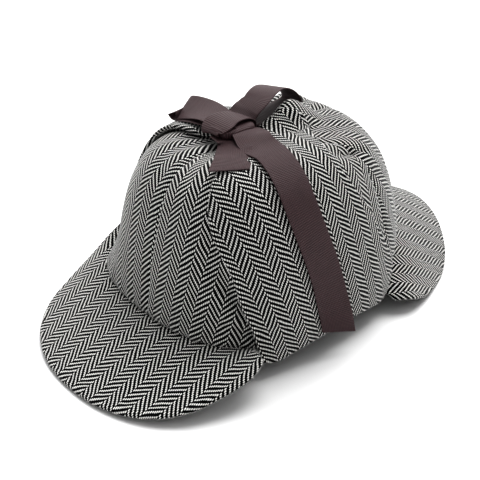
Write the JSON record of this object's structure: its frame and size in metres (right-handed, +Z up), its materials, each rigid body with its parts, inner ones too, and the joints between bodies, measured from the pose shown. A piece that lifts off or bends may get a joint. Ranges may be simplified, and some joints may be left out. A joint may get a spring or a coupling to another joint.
{
  "type": "deerstalker hat",
  "caption": "Domed wool hat with a front and a back peak and two ear flaps folded up and tied over the crown with a ribbon bow.",
  "frame": {"origin": "middle of the bottom of the hat's box, on the floor", "axes": "-Y is the front of the hat, +X is the wearer's left, +Z is up"},
  "size_m": [0.2, 0.351, 0.1605],
  "materials": {
    "herringbone": "black and white herringbone wool",
    "ribbon": "dark brown grosgrain"
  },
  "bodies": {
    "root": {"crown_gore_front_left": "herringbone", "crown_gore_front_right": "herringbone", "crown_gore_side_left": "herringbone", "crown_gore_side_right": "herringbone", "crown_gore_back_left": "herringbone", "crown_gore_back_right": "herringbone", "front_peak": "herringbone", "back_peak": "herringbone", "ear_flap_left": "herringbone", "ear_flap_right": "herringbone", "ribbon_knot": "ribbon", "ribbon_loop_left": "ribbon", "ribbon_loop_right": "ribbon", "ribbon_tail_long": "ribbon", "ribbon_tail_short": "ribbon"}
  },
  "joints": []
}
